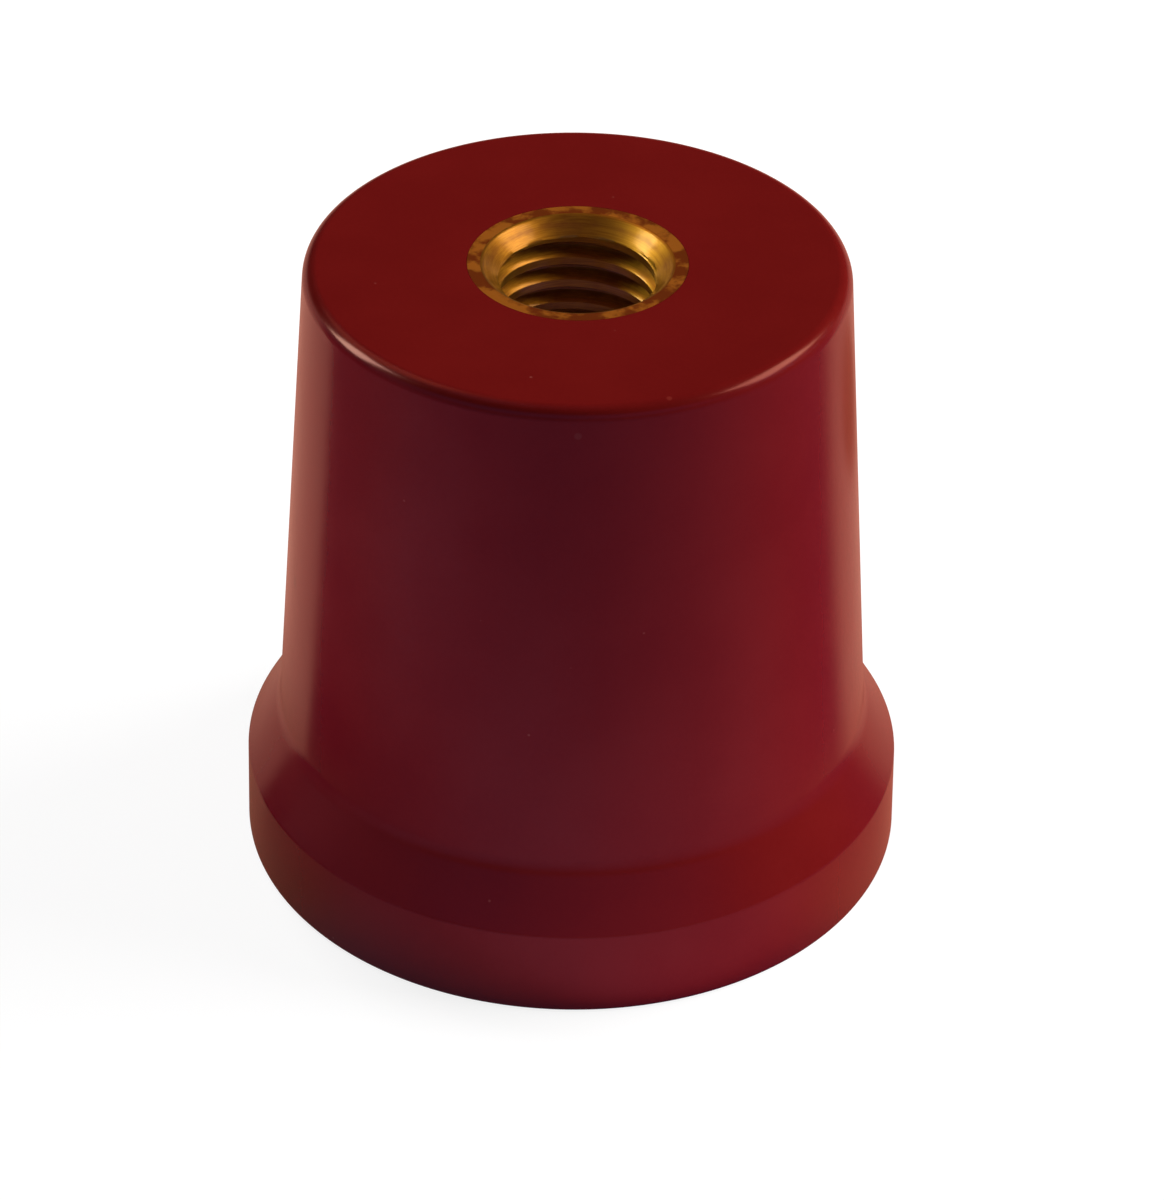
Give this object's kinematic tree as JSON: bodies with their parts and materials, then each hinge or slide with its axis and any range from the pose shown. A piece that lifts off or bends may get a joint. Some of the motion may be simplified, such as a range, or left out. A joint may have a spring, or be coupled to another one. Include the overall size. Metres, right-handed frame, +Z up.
{
  "type": "busbar support insulator",
  "caption": "Round resin standoff insulator with a wide foot, a sloping shoulder and a tapered column, and a blind threaded brass insert in each end.",
  "frame": {"origin": "centre of the base, on the face that the insulator stands on", "axes": "+Z up the insulator's axis, from the base to the busbar seat"},
  "size_m": [0.046, 0.046, 0.045],
  "materials": {
    "red_resin": "smooth moulded resin, satin to glossy",
    "brass": "turned, slightly tarnished"
  },
  "bodies": {
    "root": {"insulator_body": "red_resin", "top_insert": "brass", "base_insert": "brass"}
  },
  "joints": []
}
